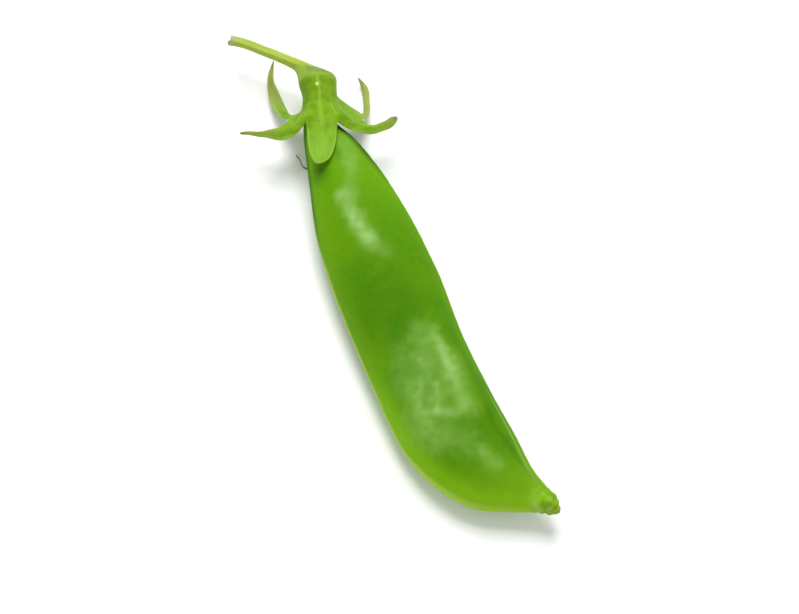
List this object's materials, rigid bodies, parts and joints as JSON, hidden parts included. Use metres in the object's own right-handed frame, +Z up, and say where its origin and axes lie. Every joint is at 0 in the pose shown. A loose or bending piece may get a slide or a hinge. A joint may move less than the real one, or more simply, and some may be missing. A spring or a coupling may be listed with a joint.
{
  "type": "snow pea pod",
  "caption": "Plump green pea pod as picked, with its seams, beak, calyx cup, spread sepals and cut stalk, lying on one broad face.",
  "frame": {"origin": "on the surface that the pod rests on, under the middle of the bounding box", "axes": "+X along the pod from the stalk end to the beak, +Y to the nearly straight seam, +Z up off the surface"},
  "size_m": [0.1074, 0.0298, 0.013],
  "materials": {
    "pod_skin": "waxy satin plant skin",
    "calyx_leaf": "soft matte leaf",
    "stalk_rind": "satin ribbed stem",
    "dried_thread": "dry and dull"
  },
  "bodies": {
    "root": {"pod": "pod_skin", "calyx_cup": "calyx_leaf", "sepal_front": "calyx_leaf", "sepal_left_lower": "calyx_leaf", "sepal_left_upper": "calyx_leaf", "sepal_right": "calyx_leaf", "sepal_right_upper": "calyx_leaf", "stalk": "stalk_rind", "withered_stamen": "dried_thread"}
  },
  "joints": []
}
